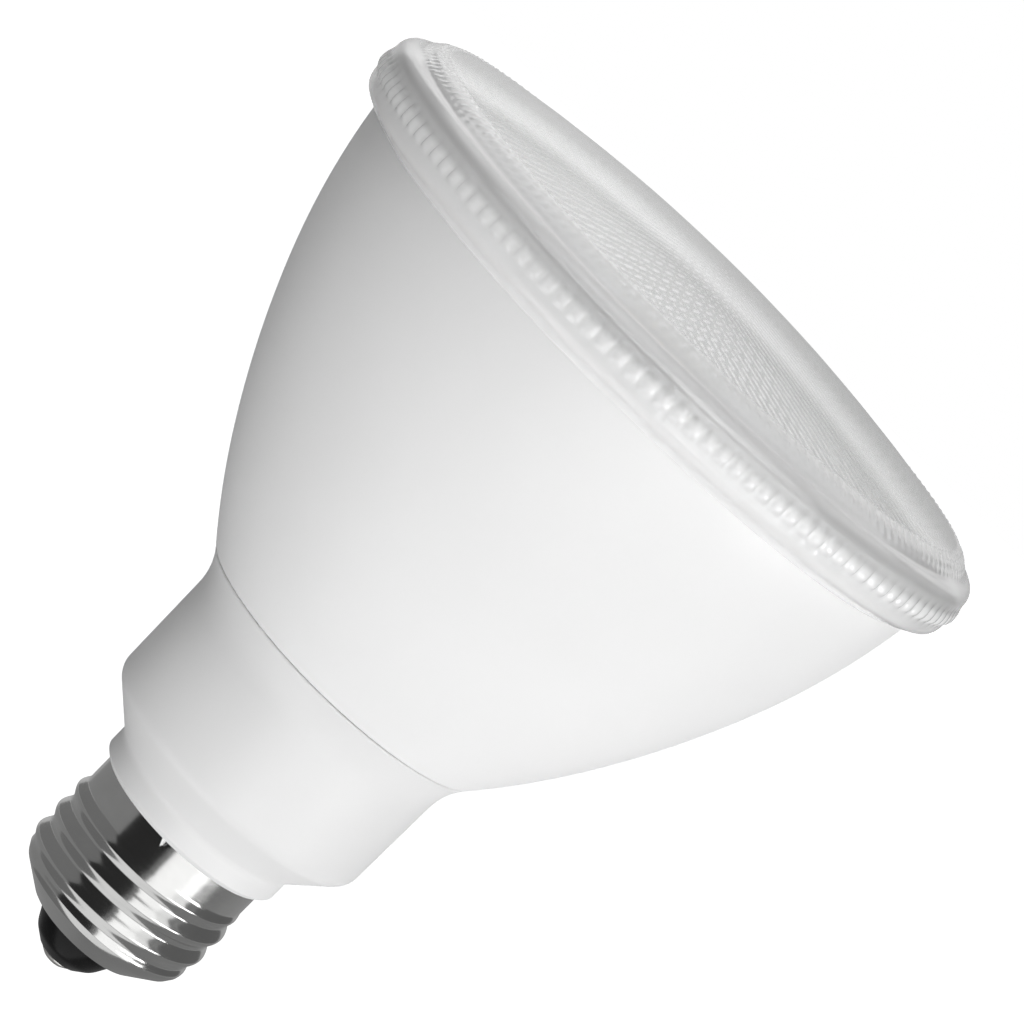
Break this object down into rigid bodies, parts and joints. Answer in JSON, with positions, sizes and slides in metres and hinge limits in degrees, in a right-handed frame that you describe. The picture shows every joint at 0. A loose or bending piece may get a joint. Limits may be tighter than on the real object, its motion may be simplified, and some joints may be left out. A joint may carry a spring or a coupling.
{
  "type": "reflector spotlight lamp",
  "caption": "White bell-shaped LED reflector lamp with a domed, stippled clear lens in a fluted rim, a long neck and a medium Edison screw base.",
  "frame": {"origin": "on the lamp's axis, at the flat end of the centre contact", "axes": "+Z along the lamp's axis, from the screw base to the lens; X and Y across the lamp"},
  "size_m": [0.095, 0.095, 0.1189],
  "materials": {
    "plated_brass": "bright nickel plate on rolled brass",
    "black_insulator": "black glass-like insulator",
    "contact_metal": "tinned contact rivet",
    "white_plastic": "satin white moulded plastic",
    "clear_plastic": "clear moulded polycarbonate",
    "grey_rubber": "grey silicone",
    "bare_aluminium": "bare pressed aluminium",
    "white_board": "white solder mask on an aluminium core",
    "led_phosphor": "yellow phosphor in a white package",
    "zinc_steel": "zinc plated",
    "bright_reflector": "satin metallised plastic",
    "green_board": "green solder mask on glass epoxy",
    "ferrite": "sintered ferrite",
    "yellow_tape": "yellow polyester tape",
    "dark_sleeve": "shrunk sleeve over an aluminium can",
    "black_epoxy": "moulded epoxy",
    "blue_lacquer": "dipped lacquer",
    "black_wire": "insulated wire",
    "white_wire": "insulated wire, bare at the shell",
    "red_wire": "insulated wire"
  },
  "bodies": {
    "root": {"screw_shell": "plated_brass", "base_insulator": "black_insulator", "centre_contact": "contact_metal", "neck_housing": "white_plastic", "housing": "white_plastic", "lens": "clear_plastic", "lens_seal": "grey_rubber", "heat_sink": "bare_aluminium", "thermal_pad": "grey_rubber", "led_board": "white_board", "led_emitters": "led_phosphor", "board_screws": "zinc_steel", "reflector": "bright_reflector", "driver_board": "green_board", "transformer_core": "ferrite", "transformer_coil": "yellow_tape", "bulk_capacitor": "dark_sleeve", "output_capacitor": "dark_sleeve", "film_capacitor": "yellow_tape", "bridge_rectifier": "black_epoxy", "choke": "ferrite", "fusible_resistor": "blue_lacquer", "varistor": "blue_lacquer", "controller_chip": "black_epoxy", "line_lead": "black_wire", "neutral_lead": "white_wire", "led_positive_lead": "red_wire", "led_negative_lead": "black_wire"}
  },
  "joints": []
}
